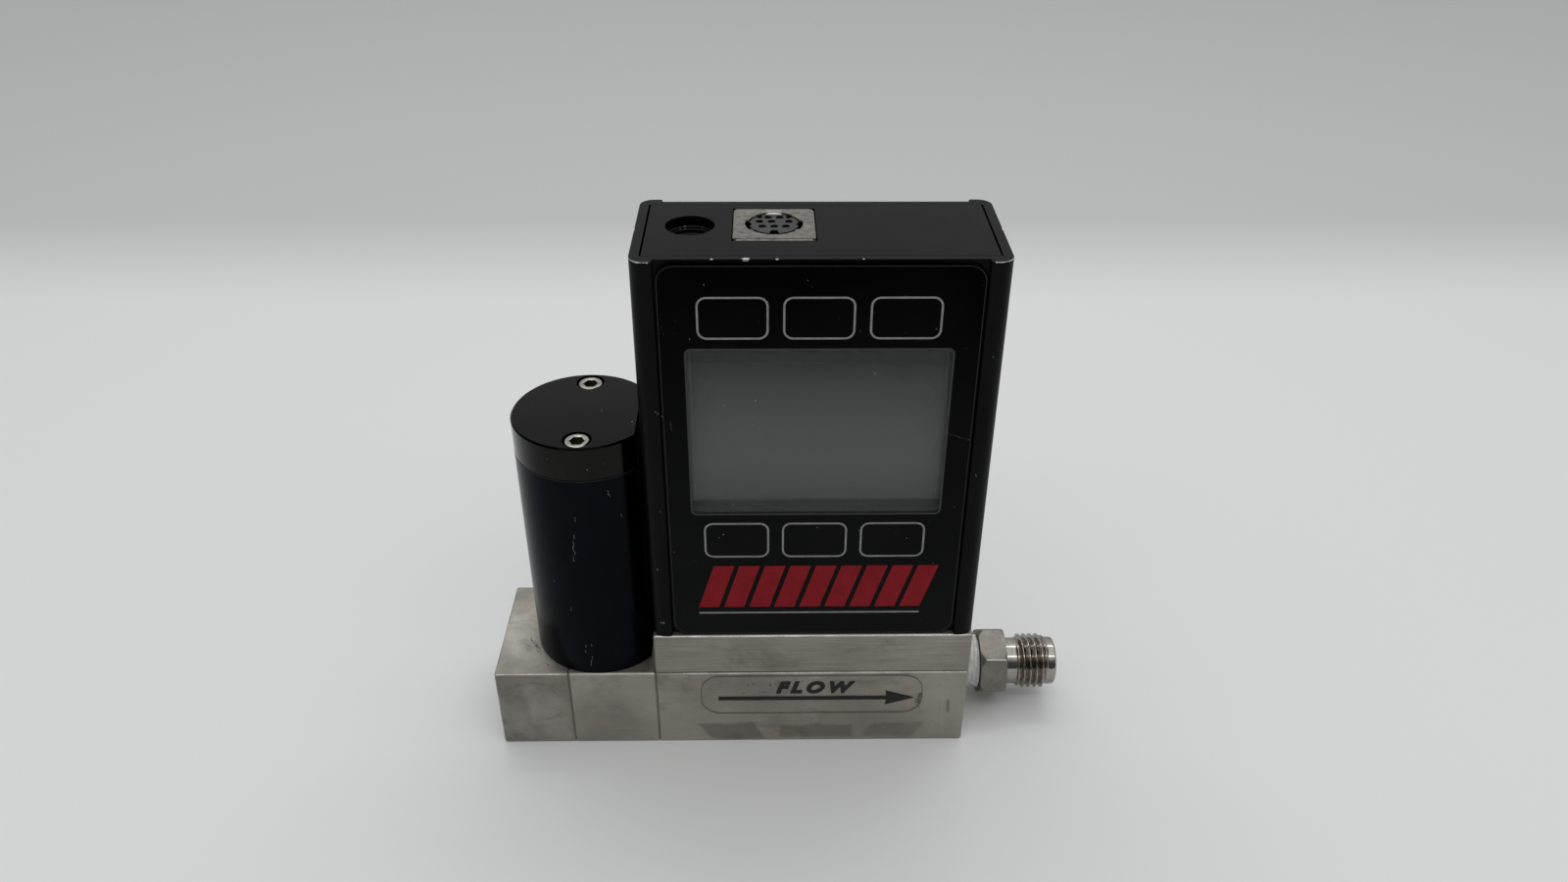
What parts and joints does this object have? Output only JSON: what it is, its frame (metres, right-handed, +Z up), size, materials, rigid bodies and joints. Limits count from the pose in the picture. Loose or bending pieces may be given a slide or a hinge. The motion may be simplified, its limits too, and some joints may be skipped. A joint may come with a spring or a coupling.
{
  "type": "mass flow controller",
  "caption": "Gas mass flow controller: bolted metal blocks with a black solenoid can, a display case with a six-key film keypad, an open inlet port and a threaded outlet fitting.",
  "frame": {"origin": "middle of the footprint, on the surface the blocks stand on", "axes": "+X with the gas flow, from the inlet port to the outlet fitting; +Y from the display side to the back; +Z up"},
  "size_m": [0.1122, 0.0267, 0.1049],
  "materials": {
    "block_aluminium": "machined, brushed and stained",
    "black_anodised": "black anodised, semi-gloss",
    "stainless": "turned",
    "plated_shield": "dull nickel plate",
    "blackened_screw": "black oxide",
    "brass_post": "machined",
    "black_rubber": "matte",
    "black_plastic": "moulded",
    "tray_plastic": "moulded white",
    "overlay_film": "printed polyester, fine matt",
    "clear_window": "clear hard-coated sheet",
    "display_glass": "grey-green liquid crystal glass, unlit",
    "circuit_board": "solder mask",
    "copper_wire": "enamelled winding",
    "lead_sleeve": "insulated wire",
    "thread_tape": "wound sealing tape",
    "label_film": "clear film with a black arrow"
  },
  "bodies": {
    "root": {"back_shell": "black_anodised", "board_header": "black_plastic", "board_spacers": "brass_post", "board_standoffs": "brass_post", "body_seal": "black_rubber", "case_screws": "blackened_screw", "coil_bobbin": "tray_plastic", "coil_winding": "copper_wire", "connector_contacts": "brass_post", "connector_insert": "black_plastic", "connector_shield": "plated_shield", "control_chip": "black_plastic", "core_tube": "stainless", "display_board": "circuit_board", "display_glass": "display_glass", "display_tray": "tray_plastic", "display_window": "clear_window", "element_retainer": "stainless", "fixed_core": "stainless", "flow_body": "block_aluminium", "flow_element": "stainless", "flow_label": "label_film", "front_shell": "black_anodised", "inlet_block": "block_aluminium", "inlet_seal": "black_rubber", "io_board": "circuit_board", "jack_pin": "plated_shield", "key_domes": "stainless", "keypad_overlay": "overlay_film", "keypad_tail": "overlay_film", "lead_grommet": "black_rubber", "lead_plug": "tray_plastic", "main_board": "circuit_board", "outlet_fitting": "stainless", "plunger_spring": "stainless", "power_jack": "black_plastic", "pressure_sensors": "stainless", "sensor_block": "block_aluminium", "sensor_block_screws": "stainless", "sensor_board": "circuit_board", "tap_seals": "black_rubber", "thread_tape": "thread_tape", "tie_screws": "stainless", "top_plate": "black_anodised", "valve_block": "block_aluminium", "valve_cap": "black_anodised", "valve_housing": "black_anodised", "valve_leads": "lead_sleeve", "valve_screws": "stainless", "valve_seal": "black_rubber", "valve_seat": "stainless"},
    "plunger": {"valve_plunger": "stainless", "plunger_seal": "black_rubber"}
  },
  "joints": [
    {"name": "valve_plunger_lift", "type": "slide", "parent": "root", "child": "plunger", "axis": [0, 0, 1], "range_m": [0, 0.0004], "stiffness_N_per_m": 400, "springref_m": -0.0006, "deforming": ["plunger_spring"]}
  ]
}
